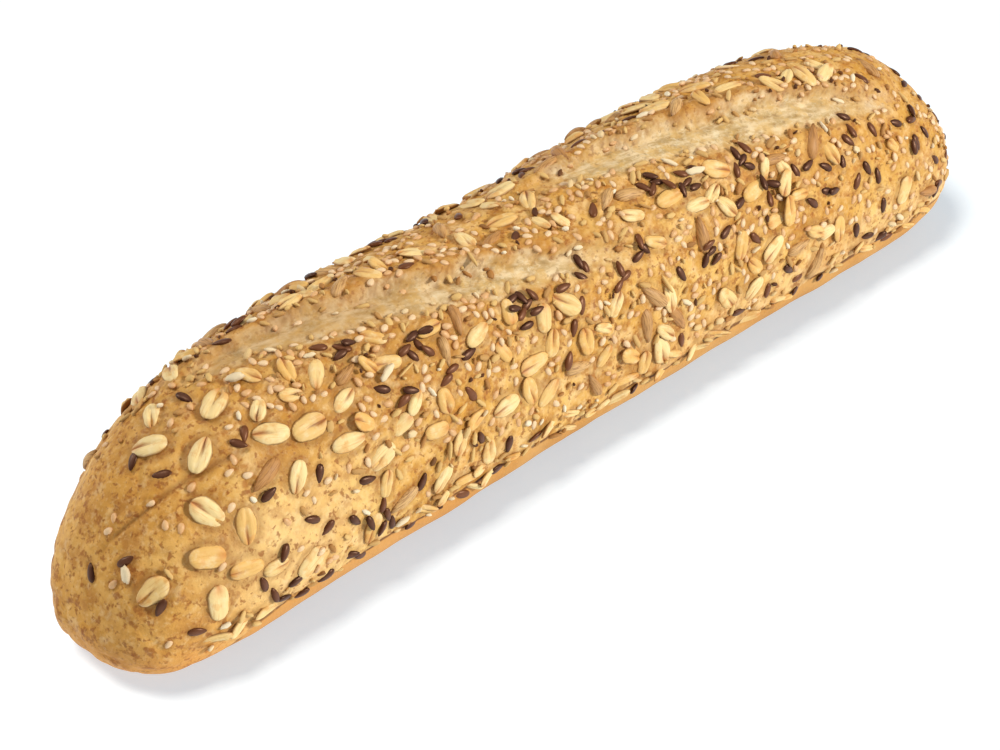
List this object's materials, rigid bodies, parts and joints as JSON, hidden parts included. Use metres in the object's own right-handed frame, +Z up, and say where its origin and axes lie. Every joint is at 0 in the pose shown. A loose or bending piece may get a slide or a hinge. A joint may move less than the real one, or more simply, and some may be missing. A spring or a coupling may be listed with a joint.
{
  "type": "demi baguette",
  "caption": "Short plump seeded baguette with diagonal scores across its crown, a smooth bare foot, and oats, sunflower kernels and flax baked into the crust.",
  "frame": {"origin": "centre of the loaf's box, on the surface that it rests on", "axes": "+X along the loaf's length towards its blunter end, +Y towards the side that the picture hides, +Z up through the crown"},
  "size_m": [0.27, 0.0639, 0.0568],
  "materials": {
    "crust": "dry matte golden-brown baked crust, mottled, paler inside the scores and smoother on the bare foot band",
    "oat": "matte creamy-yellow rolled flakes with a darker crease and toasted edges",
    "flax": "glossy dark purplish-brown seed coat",
    "sesame": "satin pale cream seed, slightly pink where toasted",
    "sunflower": "satin toasted tan kernel with fine lengthwise streaks"
  },
  "bodies": {
    "root": {"loaf": "crust"}
  },
  "joints": []
}
